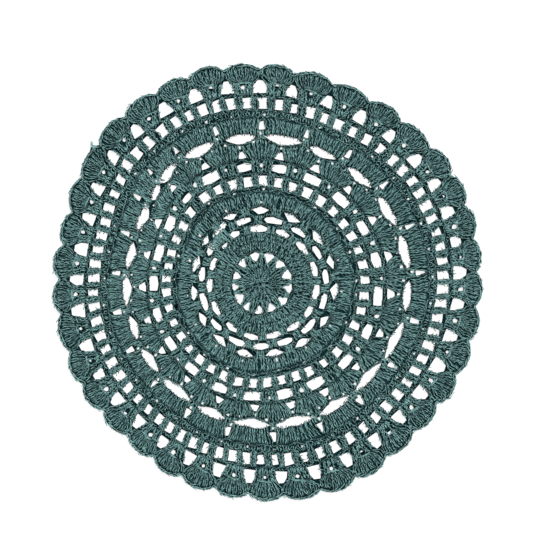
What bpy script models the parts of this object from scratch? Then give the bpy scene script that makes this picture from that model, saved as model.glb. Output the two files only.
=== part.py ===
"""Crochet placemat, one piece of one yarn, worked in rounds from the centre and lying flat.

Blender 4.5, metres, +Z up. The origin is on the underside, at the middle of the first round.
Tables are in millimetres and degrees, and MM turns them to metres in one place.
Directions run counter-clockwise from +X.
"""
import math
import random
from collections import namedtuple

import bpy
from mathutils.geometry import delaunay_2d_cdt

MM = 0.001
TURN = 360.0

# The mat as a whole. The rim is the mean line of the scallops.
RIM_RADIUS = 190.0
RIM_DRIFT = (5.0, 2.5)
EDGE_THICKNESS = 1.7
FLAT_THICKNESS = 2.1
YARN_COLOUR = "#3b5f60"
YARN_ROUGHNESS = 0.85

# The scalloped rim: each shell of the last round stands proud between two valleys.
SHELL_PEAK = 2.0
SHELL_VALLEY = -3.6
SHELL_STEPS = 7
SHELL_FULLNESS = 2.4
RIM_UNEVENNESS = 0.6
YARN_END_DIRECTION = 142.0
YARN_END_REACH = 3.0
YARN_END_HALF_WIDTH = 1.6

# How far the worked rounds are pulled out (+) or in (-) of a true circle, in millimetres.
# direction, at the inner mesh, at the slits, at the outer mesh, at the rim
PULL_RADII = (0.0, 88.0, 124.4, 155.0, 190.0)
PULL = (
    (0, 1.5, 2.0, 2.0, -0.5),
    (30, -0.5, 0.5, 1.5, 1.0),
    (46, -0.5, 0.0, -0.5, -2.5),
    (63, -0.5, -0.5, -3.0, -4.0),
    (78, 0.0, 1.0, -1.0, -3.5),
    (92, 1.5, 2.5, 2.0, 0.0),
    (107, 1.5, 3.5, 5.0, 4.0),
    (122, 3.0, 4.5, 5.5, 5.0),
    (138, 0.0, 2.0, 4.5, 4.0),
    (149, -3.0, -4.0, -2.0, 0.5),
    (163, -3.5, -5.5, -6.0, -4.5),
    (195, -2.5, -3.0, -2.5, -2.5),
    (210, -1.5, -2.5, -2.5, -1.0),
    (225, -0.5, -2.5, -2.5, -4.0),
    (255, 2.0, 0.0, 1.0, 1.5),
    (286, -0.5, 1.5, 3.5, 4.5),
    (318, 1.5, -0.5, -2.0, -1.0),
    (345, 1.5, 2.0, -0.5, 0.0),
)

# Outlines of one gap: half widths along the round, and half depths outward, clockwise from above.
ROSE_WEDGE = ((0, -1), (0.6, -0.1), (1, 0.85), (-0.1, 1), (-1, 0.8), (-0.6, -0.15))
ARCH_BAR = ((-0.9, -0.8), (0.1, -1), (0.95, -0.6), (1, 0.7), (0, 1), (-1, 0.4))
ARCH_LENS = ((-0.95, -0.5), (-0.2, -1), (0.6, -0.9), (1, -0.3), (0.8, 0.5), (0.1, 1), (-0.85, 0.7))
ARCH_SLIVER = ((-1, 0.3), (-0.3, -0.7), (0.15, -1), (1, 0.6), (0, 1))
MESH_WINDOW = ((-0.95, -0.9), (0.85, -1), (0.66, 0), (1, 0.9), (-0.85, 1), (-0.68, 0.05))
MESH_BAR = ((-1, -0.75), (0.1, -1), (1, -0.85), (0.95, 0.8), (-0.1, 0.95), (-0.95, 1))
TENT = ((-1, -0.9), (1, -1), (0.35, 0.75), (-0.25, 1))
SLIT = ((-1, 0.35), (-0.55, -0.4), (-0.2, -0.9), (0.2, -1), (0.6, -0.45),
        (1, 0.3), (0.6, 0.8), (0.2, 1), (-0.25, 0.85), (-0.6, 0.95))
MESH_DOOR = ((-1, -1), (1, -0.95), (0.8, 0.1), (0.35, 1), (-0.35, 1), (-0.75, 0.2))

# One round of gaps: half width and half depth in millimetres, and its stitch markers.
# A marker is the number of a gap and the direction that it faces; the rest lie evenly between.
Gaps = namedtuple("Gaps", "name count radius half_width half_depth outline markers")
ROSE_GAPS = Gaps("rose", 13, 22.8, 3.9, 3.9, ROSE_WEDGE,
                 ((0, 17), (3, 102), (5, 163), (9, 265), (12, 349)))
FIRST_ARCHES = Gaps("first arches", 15, 47.5, 6.2, 2.4, ARCH_BAR,
                    ((0, 15), (4, 119.5), (5, 134.5), (7, 182.5), (9, 235.5), (13, 329), (14, 349)))
SECOND_ARCHES = Gaps("second arches", 15, 55.6, 7.3, 2.4, ARCH_LENS,
                     ((0, 5.5), (1, 29), (3, 79.5), (4, 107), (5, 129), (6, 145.5), (8, 198), (10, 247),
                      (12, 291), (14, 343)))
THIRD_ARCHES = Gaps("third arches", 15, 62.6, 7.5, 2.8, ARCH_SLIVER,
                    ((0, 17), (1, 39.5), (3, 91.5), (4, 116), (5, 144), (6, 164), (7, 189), (10, 256),
                     (13, 327.5), (14, 353)))
INNER_MESH = Gaps("inner mesh", 41, 88.0, 3.9, 3.9, MESH_WINDOW,
                  ((0, 1.5), (4, 36), (7, 64), (14, 124.5), (15, 136), (18, 162.5), (21, 186),
                   (24, 213.5), (29, 256), (34, 297.5), (37, 326), (40, 352.5)))
LADDER = Gaps("ladder", 21, 99.8, 6.7, 3.6, MESH_BAR,
              ((0, 11), (3, 64.5), (6, 117), (8, 148), (12, 213.5), (15, 264.5), (17, 297.5),
               (20, 353)))
TENTS = Gaps("tents", 21, 110.5, 4.2, 2.8, TENT,
             ((0, 12), (3, 65.5), (6, 117), (8, 151), (12, 214), (14, 249), (16, 282.5), (17, 299),
              (20, 354.5)))
SLITS = Gaps("slits", 22, 124.2, None, 3.9, SLIT,
             ((0, 12), (3, 65.5), (6, 116.5), (7, 132), (8, 140.5), (9, 152.5), (10, 169), (12, 199.5),
              (13, 214.5), (16, 264.5), (19, 317.5), (21, 354.5)))
OUTER_MESH = Gaps("outer mesh", 74, 155.0, 3.8, 4.8, MESH_WINDOW,
                  ((0, 2), (9, 43.5), (11, 54.5), (20, 101), (24, 119), (26, 130), (30, 150),
                   (38, 188.5), (47, 232.5), (49, 241.5), (57, 277.5), (60, 293), (62, 304),
                   (66, 324.5), (73, 357.5)))
DOORS = Gaps("doors", 37, 169.9, 5.6, 5.5, MESH_DOOR,
             ((0, 2.5), (4, 39), (6, 60), (8, 82), (12, 120.5), (15, 151), (19, 189), (20, 200),
              (23, 228), (28, 274.5), (32, 314.5), (36, 353)))
SHELL_GAPS = Gaps("between the band's shells", 22, 135.4, 2.3, 4.0, TENT, None)
SLIT_SHARE = 0.41
GAP_UNEVENNESS = 0.18
POINT_UNEVENNESS = 0.6

# Where the rounds join, the gaps differ: name and number of the gap, its size, its shift outward.
SEAM_GAPS = {
    ("first arches", 4): (0.8, 0.0),
    ("first arches", 5): (0.55, -1.4),
    ("second arches", 5): (0.95, 3.4),
    ("third arches", 5): (0.7, 0.3),
    ("ladder", 7): (0.55, -1.5),
    ("tents", 7): (0.8, 3.0),
    ("slits", 8): (0.75, -2.0),
    ("between the band's shells", 7): (0.6, 1.5),
    ("between the band's shells", 8): (0.8, 2.0),
}

# Raised forms: a row has its radius and its thickness there.
ROSE_ROWS = ((11.0, 2.6),)
ROSE_POINTS = 12
DISC_ROWS = ((31.5, 2.6), (35.3, 2.2), (40.0, 2.7))
DISC_POINTS = 26

# Shells of one round: the gaps that they follow, whether they stand over those gaps or between
# them, points across, half width as a share of the spacing, rows of the crown, rows of the crease.
Shells = namedtuple("Shells", "gaps over points share crown crease")
SHELLS = (
    Shells(THIRD_ARCHES, True, 4, 0.36, ((70.0, 2.7), (76.5, 2.8)), ((72.5, 2.1),)),
    Shells(TENTS, False, 3, 0.26, ((109.0, 2.6), (116.0, 2.8)), ()),
    Shells(SLITS, True, 5, 0.34, ((132.0, 2.8), (139.0, 2.8)), ((143.5, 2.1), (147.2, 2.5))),
    Shells(DOORS, False, 3, 0.26, ((178.0, 2.8), (184.0, 2.6)), ((181.0, 2.0),)),
)

dice = random.Random(37)


def blend(share):
    """Return a share of 0 to 1 eased at both ends."""
    return share * share * (3 - 2 * share)


def pull(radius, direction):
    """Return how far the round at this radius is pulled outward in this direction."""
    direction %= TURN
    rows = PULL + ((TURN,) + PULL[0][1:],)
    low, high = next(pair for pair in zip(rows, rows[1:]) if direction <= pair[1][0])
    share = blend((direction - low[0]) / (high[0] - low[0]))
    pulls = [0.0] + [a + (b - a) * share for a, b in zip(low[1:], high[1:])]
    place = max(i for i in range(len(PULL_RADII) - 1) if i == 0 or radius > PULL_RADII[i])
    inner, outer = PULL_RADII[place:place + 2]
    share = min((radius - inner) / (outer - inner), 1.0)
    return pulls[place] + (pulls[place + 1] - pulls[place]) * share


def on_mat(radius, direction):
    """Return x and y of a point of the worked mat, from its radius on an even one."""
    reach = radius + pull(radius, direction)
    turn = math.radians(direction)
    drift = radius / RIM_RADIUS
    return (RIM_DRIFT[0] * drift + reach * math.cos(turn),
            RIM_DRIFT[1] * drift + reach * math.sin(turn))


def directions(gaps):
    """Return the direction of each gap of a round, evenly spaced between its stitch markers."""
    first = gaps.markers[0]
    markers = gaps.markers + ((gaps.count, first[1] + TURN),)
    facing = []
    for (start, low), (end, high) in zip(markers, markers[1:]):
        facing += [low + (high - low) * step / (end - start) for step in range(end - start)]
    return facing


def between(facing):
    """Return the directions midway between each pair of neighbours, the last one past the first."""
    return [(a + b) / 2 for a, b in zip(facing, facing[1:] + [facing[0] + TURN])]


def spacing(facing, number):
    """Return half the way from one neighbour to the other, in degrees."""
    before = facing[number - 1] - (TURN if number == 0 else 0)
    after = facing[(number + 1) % len(facing)] + (TURN if number == len(facing) - 1 else 0)
    return (after - before) / 2


def gap_outline(gaps, number, direction, half_width):
    """Return the points of one gap, its outline scaled, shifted and made a little uneven."""
    size, shift = SEAM_GAPS.get((gaps.name, number), (1.0, 0.0))
    size *= 1 + dice.uniform(-GAP_UNEVENNESS, GAP_UNEVENNESS)
    points = []
    for across, outward in gaps.outline:
        slide = across * half_width * size + dice.uniform(-1, 1) * POINT_UNEVENNESS
        rise = outward * gaps.half_depth * min(size, 1.0) + dice.uniform(-1, 1) * POINT_UNEVENNESS
        radius = gaps.radius + shift + rise
        points.append(on_mat(radius, direction + math.degrees(slide / gaps.radius)))
    return points


def round_of_gaps(gaps):
    """Return the outlines of all gaps of one round."""
    return [gap_outline(gaps, number, direction, gaps.half_width)
            for number, direction in enumerate(directions(gaps))]


def slits():
    """Return the long slits under the band, each as wide as its place in the round allows."""
    facing = directions(SLITS)
    outlines = []
    for number, direction in enumerate(facing):
        half_width = math.radians(spacing(facing, number) * SLIT_SHARE) * SLITS.radius
        outlines.append(gap_outline(SLITS, number, direction, half_width))
    return outlines


def shell_gaps():
    """Return the narrow gaps between the shells of the band, over the ends of the slits."""
    facing = between(directions(SLITS))
    return [gap_outline(SHELL_GAPS, number, direction, SHELL_GAPS.half_width)
            for number, direction in enumerate(facing)]


def rim():
    """Return the scalloped outline: one arc for each shell, with the yarn's end at the join."""
    valleys = directions(DOORS)
    points = []
    for start, end in zip(valleys, valleys[1:] + [valleys[0] + TURN]):
        height = SHELL_PEAK + dice.uniform(-RIM_UNEVENNESS, RIM_UNEVENNESS)
        for step in range(SHELL_STEPS):
            share = step / SHELL_STEPS
            arc = 1 - abs(2 * share - 1) ** SHELL_FULLNESS
            radius = RIM_RADIUS + SHELL_VALLEY + (height - SHELL_VALLEY) * arc
            direction = start + (end - start) * share
            beside = math.radians(direction - YARN_END_DIRECTION) * RIM_RADIUS
            if abs(beside) < YARN_END_HALF_WIDTH:
                radius += YARN_END_REACH
            points.append(on_mat(radius, direction))
    return points


def ring_points(rows, count):
    """Return x, y and thickness of rows of points that run all the way round."""
    return [(*on_mat(radius, TURN * step / count), thickness)
            for radius, thickness in rows for step in range(count)]


def shell_points(shells):
    """Return x, y and thickness of the points that crown the shells of a round and part them."""
    facing = directions(shells.gaps)
    widths = [spacing(facing, number) for number in range(len(facing))]
    centres, parted = (facing, between(facing)) if shells.over else (between(facing), facing)
    points = []
    for centre, width in zip(centres, widths):
        for radius, thickness in shells.crown:
            for step in range(shells.points):
                across = (2 * step / (shells.points - 1) - 1) * shells.share * width
                points.append((*on_mat(radius, centre + across), thickness))
    for direction in parted:
        points += [(*on_mat(radius, direction), thickness) for radius, thickness in shells.crease]
    return points


def relief():
    """Return every point inside the sheet that gives its upper face its crowns and creases."""
    points = [(0.0, 0.0, FLAT_THICKNESS)]
    points += ring_points(ROSE_ROWS, ROSE_POINTS)
    points += ring_points(DISC_ROWS, DISC_POINTS)
    for shells in SHELLS:
        points += shell_points(shells)
    return points


def fill(loops, extra):
    """Fill the first loop but for the others, which are gaps.

    Return the filled points, the triangles, and where each given point went among them.
    """
    points = [point for loop in loops for point in loop] + extra
    areas = []
    start = 0
    for loop in loops:
        areas.append(list(range(start, start + len(loop))))
        start += len(loop)
    inside_but_for_gaps = 2
    tolerance = 1e-5
    filled = delaunay_2d_cdt(points, [], areas, inside_but_for_gaps, tolerance)
    placed = {given[0]: place for place, given in enumerate(filled[3])}
    return [tuple(point) for point in filled[0]], [tuple(face) for face in filled[2]], placed


def mat_mesh():
    """Return the mesh of the mat: a raised upper face, a flat underside and the walls between."""
    gap_loops = []
    for gaps in (ROSE_GAPS, FIRST_ARCHES, SECOND_ARCHES, THIRD_ARCHES, INNER_MESH, LADDER, TENTS):
        gap_loops += round_of_gaps(gaps)
    gap_loops += slits() + shell_gaps()
    for gaps in (OUTER_MESH, DOORS):
        gap_loops += round_of_gaps(gaps)
    loops = [rim()] + gap_loops
    raised = relief()
    upper, upper_faces, upper_placed = fill(loops, [point[:2] for point in raised])
    lower, lower_faces, lower_placed = fill(loops, [])
    edge_count = sum(len(loop) for loop in loops)
    thickness = [EDGE_THICKNESS] * edge_count + [point[2] for point in raised]
    heights = {place: thickness[given] for given, place in upper_placed.items()}
    verts = [(x * MM, y * MM, heights[place] * MM) for place, (x, y) in enumerate(upper)]
    verts += [(x * MM, y * MM, 0.0) for x, y in lower]
    base = len(upper)
    faces = list(upper_faces)
    faces += [tuple(base + corner for corner in reversed(face)) for face in lower_faces]
    start = 0
    for loop in loops:
        count = len(loop)
        for step in range(count):
            here = start + step
            there = start + (step + 1) % count
            faces.append((upper_placed[here], base + lower_placed[here],
                          base + lower_placed[there], upper_placed[there]))
        start += count
    mesh = bpy.data.meshes.new("placemat")
    mesh.from_pydata(verts, [], faces)
    mesh.validate()
    return mesh


def yarn_material():
    """Return the plain finish of the dark teal cotton yarn."""
    channels = [int(YARN_COLOUR[place:place + 2], 16) / 255 for place in (1, 3, 5)]
    linear = [((value + 0.055) / 1.055) ** 2.4 for value in channels]
    material = bpy.data.materials.new("dark teal cotton yarn")
    material.use_nodes = True
    shader = material.node_tree.nodes["Principled BSDF"]
    shader.inputs["Base Color"].default_value = (*linear, 1.0)
    shader.inputs["Roughness"].default_value = YARN_ROUGHNESS
    shader.inputs["Metallic"].default_value = 0.0
    return material


for old in list(bpy.data.objects):
    bpy.data.objects.remove(old)

placemat = bpy.data.objects.new("placemat", mat_mesh())
placemat.data.materials.append(yarn_material())
bpy.context.scene.collection.objects.link(placemat)
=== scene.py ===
"""Crochet placemat of dark teal cotton yarn, worked flat in rounds from the centre outward.

Lengths in the tables are millimetres and directions are degrees, counter-clockwise from +X.
Every stitch is laid out by its radius and direction on an even mat, then pulled to its real place.
"""
import math
import random

import bmesh
import bpy
import numpy as np
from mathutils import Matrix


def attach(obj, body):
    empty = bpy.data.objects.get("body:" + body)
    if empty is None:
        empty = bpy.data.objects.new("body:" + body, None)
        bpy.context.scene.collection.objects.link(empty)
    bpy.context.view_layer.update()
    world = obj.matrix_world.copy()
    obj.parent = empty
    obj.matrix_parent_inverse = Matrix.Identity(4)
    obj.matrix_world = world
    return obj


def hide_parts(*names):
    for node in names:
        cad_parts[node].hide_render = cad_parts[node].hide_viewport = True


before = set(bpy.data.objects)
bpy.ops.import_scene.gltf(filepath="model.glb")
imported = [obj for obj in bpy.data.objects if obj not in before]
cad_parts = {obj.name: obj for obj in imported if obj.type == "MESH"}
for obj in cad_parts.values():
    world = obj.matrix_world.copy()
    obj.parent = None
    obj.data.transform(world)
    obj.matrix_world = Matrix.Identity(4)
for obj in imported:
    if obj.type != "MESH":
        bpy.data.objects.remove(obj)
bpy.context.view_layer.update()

# The rose: two short rounds worked into a closed ring, then thirteen columns of tall stitches.
# Cotton yarn, plied and lightly glazed. The ring is pulled shut, so the stitches crowd at its middle.

MM = 0.001
TURN = 360.0
FULL = 2 * math.pi

# The pull: how far the worked rounds stand out (+) or in (-) of a true circle. A row has a
# direction, then the pull at each radius after the first. The rounds drift by RIM_DRIFT at the rim.
RIM_RADIUS = 190.0
RIM_DRIFT = np.array((5.0, 2.5))
PULL_RADII = np.array((0.0, 88.0, 124.4, 155.0, 190.0))
PULL = np.array((
    (0, 1.5, 2.0, 2.0, -0.5),
    (30, -0.5, 0.5, 1.5, 1.0),
    (46, -0.5, 0.0, -0.5, -2.5),
    (63, -0.5, -0.5, -3.0, -4.0),
    (78, 0.0, 1.0, -1.0, -3.5),
    (92, 1.5, 2.5, 2.0, 0.0),
    (107, 1.5, 3.5, 5.0, 4.0),
    (122, 3.0, 4.5, 5.5, 5.0),
    (138, 0.0, 2.0, 4.5, 4.0),
    (149, -3.0, -4.0, -2.0, 0.5),
    (163, -3.5, -5.5, -6.0, -4.5),
    (195, -2.5, -3.0, -2.5, -2.5),
    (210, -1.5, -2.5, -2.5, -1.0),
    (225, -0.5, -2.5, -2.5, -4.0),
    (255, 2.0, 0.0, 1.0, 1.5),
    (286, -0.5, 1.5, 3.5, 4.5),
    (318, 1.5, -0.5, -2.0, -1.0),
    (345, 1.5, 2.0, -0.5, 0.0),
    (360, 1.5, 2.0, 2.0, -0.5),
))


def ease(share):
    """Return a share s of 0 to 1 eased at both ends, as s*s*(3 - 2s)."""
    return share * share * (3 - 2 * share)


def on_mat(radius, direction):
    """Return x and y in mm of points of the mat, from their radius and direction on an even one.

    The pull table gives how far a round is drawn outward: between two of its directions the share is
    eased, and between two of its radii it is straight. The rounds drift with radius.
    """
    radius, direction = np.broadcast_arrays(np.asarray(radius, float), np.asarray(direction, float))
    around = direction % TURN
    row = np.clip(np.searchsorted(PULL[:, 0], around, side="right") - 1, 0, len(PULL) - 2)
    share = ease((around - PULL[row, 0]) / (PULL[row + 1, 0] - PULL[row, 0]))[..., None]
    pulls = PULL[row, 1:] * (1 - share) + PULL[row + 1, 1:] * share
    pulls = np.concatenate([np.zeros_like(pulls[..., :1]), pulls], axis=-1)
    place = np.clip(np.searchsorted(PULL_RADII, radius) - 1, 0, len(PULL_RADII) - 2)
    part = np.minimum((radius - PULL_RADII[place]) / (PULL_RADII[place + 1] - PULL_RADII[place]), 1)
    low = np.take_along_axis(pulls, place[..., None], axis=-1)[..., 0]
    high = np.take_along_axis(pulls, place[..., None] + 1, axis=-1)[..., 0]
    reach = radius + low + (high - low) * part
    turn = np.radians(direction)
    drift = radius[..., None] / RIM_RADIUS * RIM_DRIFT
    return drift + np.stack([reach * np.cos(turn), reach * np.sin(turn)], axis=-1)


def facing(count, *markers):
    """Return the directions of the gaps of a round, even between its stitch markers."""
    numbers = [number for number, _ in markers] + [count]
    directions = [direction for _, direction in markers] + [markers[0][1] + TURN]
    return np.interp(np.arange(count), numbers, directions)


# The sheet's gaps are uneven by seeded chance. The same draws are made here in the same order, so
# the stitches follow its gaps. A seam row has the number of a gap at the join, its size and shift.
SHEET_SEED = 37
GAP_UNEVENNESS = 0.18
POINT_UNEVENNESS = 0.6
sheet_dice = random.Random(SHEET_SEED)


def gap_corners(directions, radius, half_width, half_depth, outline, seams=()):
    """Return direction and radius of the corners of a round's gaps, (gaps, corners, 2), as in the sheet.

    A corner stands across * half_width * size + a draw along the round from its gap's middle, and
    outward * half_depth * min(size, 1) + a draw beyond it. The draws are the sheet's own, in its order.
    """
    half_widths = np.broadcast_to(half_width, len(directions))
    found = []
    for number, (direction, wide) in enumerate(zip(directions, half_widths)):
        size, shift = dict(seams).get(number, (1.0, 0.0))
        size *= 1 + sheet_dice.uniform(-GAP_UNEVENNESS, GAP_UNEVENNESS)
        corners = []
        for across, outward in outline:
            slide = across * wide * size + sheet_dice.uniform(-1, 1) * POINT_UNEVENNESS
            rise = outward * half_depth * min(size, 1.0) + sheet_dice.uniform(-1, 1) * POINT_UNEVENNESS
            corners.append((direction + math.degrees(slide / radius), radius + shift + rise))
        found.append(corners)
    return np.array(found)


def side_of(gaps, places, radius):
    """Return the direction of one side of each gap at radius, (1 or gaps, n, m), straight between corners."""
    rows = np.broadcast_to(radius, (len(gaps),) + radius.shape[1:])
    return np.stack([np.interp(row, gap[places, 1], gap[places, 0]) for row, gap in zip(rows, gaps)])


def space_between(gaps, after, before, radius):
    """Return the directions at which each space between two neighbouring gaps starts and ends.

    After and before number the corners of a gap's two sides, from the inner end to the outer.
    """
    onward = np.roll(gaps, -1, axis=0)
    onward[-1, :, 0] += TURN
    return side_of(gaps, after, radius), side_of(onward, before, radius)


STITCH_STEPS = 8


def stitch_rows(radius, direction):
    """Return radius and direction with one row a stitch, both (n, STITCH_STEPS)."""
    radius = np.broadcast_to(radius, direction.shape)
    return radius.reshape(-1, STITCH_STEPS), direction.reshape(-1, STITCH_STEPS)


def posts(gaps, after, before, base, top, base_shares, top_shares):
    """Return radius and direction of the stitches of the posts that stand between a round's gaps.

    With s from 0 to 1 up a post, a stitch stands at a share of the post's width there, which goes
    straight from its base share to its top share.
    """
    s = np.linspace(0, 1, STITCH_STEPS)
    radius = (base + (top - base) * s)[None, None]
    start, end = space_between(gaps, after, before, radius)
    low, high = np.array(base_shares)[:, None], np.array(top_shares)[:, None]
    return stitch_rows(radius, start + (end - start) * (low + (high - low) * s))


def even_round(base, top, count, steps=STITCH_STEPS):
    """Return radius and direction of count stitches set evenly round the mat, from base to top."""
    radius = np.broadcast_to(np.linspace(base, top, steps), (count, steps))
    return radius, np.broadcast_to(np.arange(count)[:, None] * TURN / count, radius.shape)


# The strands: the yarn's girth, how far a strand's middle rises over its ends, the strand that lies
# low behind each stitch, how much one strand differs from the next, and how far from its line and how
# high a tall stitch's strands lie.
STITCH_SEED = 26
YARN_GIRTH = 0.82
STRAND_RISE = 0.75
STRAND_SIDES = 4
LOOP_STEPS = 4
LOW_LEVEL = 0.95
LOW_GIRTH = 1.1
# The low strand is set darker by the next value: painted shade, as it lies under the stitches.
LOW_STRAND_PAINTED_SHADE = -0.35
LENGTH_SPREAD = 0.15
PLACE_SPREAD = 0.3
LEVEL_SPREAD = 0.12
GIRTH_SPREAD = 0.08
MEAN_SHADE = 0.5
SHADE_SPREAD = 0.22
LONGEST_SHARE = 0.9
TALL_HALF = 0.25
TALL_LEVEL = 1.65
CROWDED_SHARE = 0.45
dice = np.random.default_rng(STITCH_SEED)


def left_of(line):
    """Return the unit vectors square to each line, on its left."""
    run = np.gradient(line, axis=-2)
    run /= np.linalg.norm(run, axis=-1, keepdims=True)
    return np.stack([-run[..., 1], run[..., 0]], axis=-1)


def at_level(points, level):
    """Return points of x and y with a level above the table, all in mm."""
    return np.append(points, np.full(points.shape[:-1] + (1,), level), axis=-1)


def shades(count, paler=0.0):
    """Return how pale each strand is, about MEAN_SHADE, uneven as yarn is dyed, and moved by paler."""
    return np.clip(dice.normal(MEAN_SHADE, SHADE_SPREAD, count) + paler, 0, 1)


def loops(line, pitch, length, slant, half, level, narrowed, unrest, paler, inmost=0.6):
    """Return a batch of short strands laid slantwise along lines of x and y, (n, m, 2), in mm.

    Every pitch mm a strand starts, now on one side of the line and now on the other. With s from -1 to
    1 it lies length/2 * s * cos(slant) along the line and half + length/2 * s * sin(slant) to its side,
    at level + STRAND_RISE * (0.5 - s*s), so its ends go down between its neighbours. Slant and unrest are
    degrees. Half and slant are times narrowed, (n, m), which draws the strands together or lets them
    bulge, and girth is too where narrowed is under 1.
    """
    count, steps, _ = line.shape
    total = np.linalg.norm(np.diff(line, axis=1), axis=2).sum(axis=1)[:, None]
    number = max(int(round(total.mean() / pitch)), 1)
    shape = (count, number)
    flip = np.where((np.arange(number) + dice.integers(0, 2, (count, 1))) % 2, 1.0, -1.0)
    reach = np.minimum(length * dice.normal(1, LENGTH_SPREAD, shape), LONGEST_SHARE * total) / 2
    centre = (np.arange(number) + 0.5 + dice.uniform(-PLACE_SPREAD, PLACE_SPREAD, shape)) / number
    centre = np.clip(centre, reach / total, 1 - reach / total)
    angle = np.radians(flip * slant + dice.normal(0, unrest, shape))
    s = np.linspace(-1, 1, LOOP_STEPS)
    at = (centre[..., None] + s * (reach * np.cos(angle) / total)[..., None]) * (steps - 1)
    place = np.clip(at.astype(int), 0, steps - 2)
    part = (at - place)[..., None]
    who = np.arange(count)[:, None, None]
    drawn = narrowed[who, place]
    beside = (flip * half * dice.uniform(inmost, 1.1, shape))[..., None]
    beside = beside + s * (reach * np.sin(angle))[..., None]
    middle = line[who, place] * (1 - part) + line[who, place + 1] * part
    flat = middle + (beside * drawn)[..., None] * left_of(line)[who, place]
    lift = level + dice.normal(0, LEVEL_SPREAD, shape)[..., None] + STRAND_RISE * (0.5 - s * s)
    paths = np.concatenate([flat, lift[..., None]], axis=-1).reshape(-1, LOOP_STEPS, 3)
    girths = YARN_GIRTH * dice.normal(1, GIRTH_SPREAD, shape)[..., None] * np.minimum(drawn, 1)
    return paths, girths.reshape(-1, LOOP_STEPS), shades(len(paths), paler)


def tall_stitches(radius, direction, crowd=0.0, opening=0.0, pitch=2.6, length=5.6, slant=9.0,
                  unrest=9.0, sway=0.4, paler=0.0, belly=0.0):
    """Return batches of strands for stitches that follow radius and direction, both (n, m).

    A stitch shows as slanting loops, laid one over the next along its line. Towards the base they are
    drawn together by the crowd share, because many stitches go down into one place, they part by the
    opening share towards the top, and by the belly share times sin(pi s) half way up. A strand lies
    low behind them, coloured darker as painted shade.
    """
    count, steps = radius.shape
    share = np.linspace(0, 1, steps)
    line = on_mat(radius + dice.normal(0, 0.3, (count, 1)), direction)
    swing = (dice.normal(0, sway, (count, 1)) * np.sin(math.pi * share)
             + dice.normal(0, sway, (count, 1)) * np.sin(FULL * share) + dice.normal(0, 0.2, (count, 1)))
    line = line + swing[..., None] * left_of(line)
    narrowed = (1 - crowd * (1 - ease(np.clip(share / CROWDED_SHARE, 0, 1)))) * (1 + opening * share)
    narrowed = narrowed * (1 + belly * np.sin(math.pi * share))
    narrowed = np.broadcast_to(narrowed, (count, steps))
    few = np.linspace(0, steps - 1, LOOP_STEPS).round().astype(int)
    return [loops(line, pitch, length, slant, TALL_HALF, TALL_LEVEL, narrowed, unrest, paler),
            (at_level(line, LOW_LEVEL)[:, few], LOW_GIRTH * narrowed[:, few], shades(count, LOW_STRAND_PAINTED_SHADE))]


# A chain is lumpy and a round wavers, because the stitches of the next round tug at them.
LUMPS = 0.5
LEAST_LUMP = 0.6
MOST_LUMP = 1.5
WAVER = 0.4
WAVER_SINES = 5
ROUND_STEP = 2.0
CHAIN_PITCH = 1.35
EDGE_WIDTH = 3.2


def chain(line, width, length=3.8, slant=26.0, level=1.5, unrest=24.0, closed=False, paler=0.0):
    """Return the strands of one chain along a line of x and y, (p, 2): two rows of slanting loops.

    The chain is lumpy: its width is times 1 + LUMPS * a mean of three draws, within bounds.
    """
    if closed:
        line = np.vstack([line, line[:2]])
    half = (width - YARN_GIRTH) / 2 - length / 4 * math.sin(math.radians(slant))
    draws = np.convolve(dice.normal(0, 1, len(line) + 2), np.ones(3) / 3, "valid")
    lumpy = np.clip(1 + LUMPS * draws, LEAST_LUMP, MOST_LUMP)[None]
    return [loops(line[None], CHAIN_PITCH, length, slant, half, level, lumpy, unrest, paler, inmost=0.0),
            (at_level(line, LOW_LEVEL)[None], np.full((1, len(line)), LOW_GIRTH), shades(1, LOW_STRAND_PAINTED_SHADE))]


def chain_round(radius, width=EDGE_WIDTH):
    """Return one chain all the way round the mat, with a step every ROUND_STEP mm or so.

    It wavers in and out by a sum of a few sines, because the rounds beyond tug at it.
    """
    steps = int(FULL * radius / ROUND_STEP)
    direction = np.arange(steps) * TURN / steps
    waves = dice.integers(8, max(int(FULL * radius / 9), 14), WAVER_SINES)
    phases = dice.uniform(0, FULL, WAVER_SINES)
    waver = sum(np.sin(wave * np.radians(direction) + phase) for wave, phase in zip(waves, phases))
    return chain(on_mat(radius + WAVER * waver, direction), width, closed=True)


END_TAPER = 0.6
OVER_TABLE = 0.02


def tube_faces(count, steps, sides):
    """Return the point numbers of the walls and of the end caps of tubes, each with steps rings."""
    number = np.arange(count * steps * sides).reshape(count, steps, sides)
    onward = np.roll(number, -1, axis=2)
    walls = np.stack([number[:, :-1], onward[:, :-1], onward[:, 1:], number[:, 1:]], axis=-1)
    return walls, np.concatenate([number[:, 0, ::-1], number[:, -1]])


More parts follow.
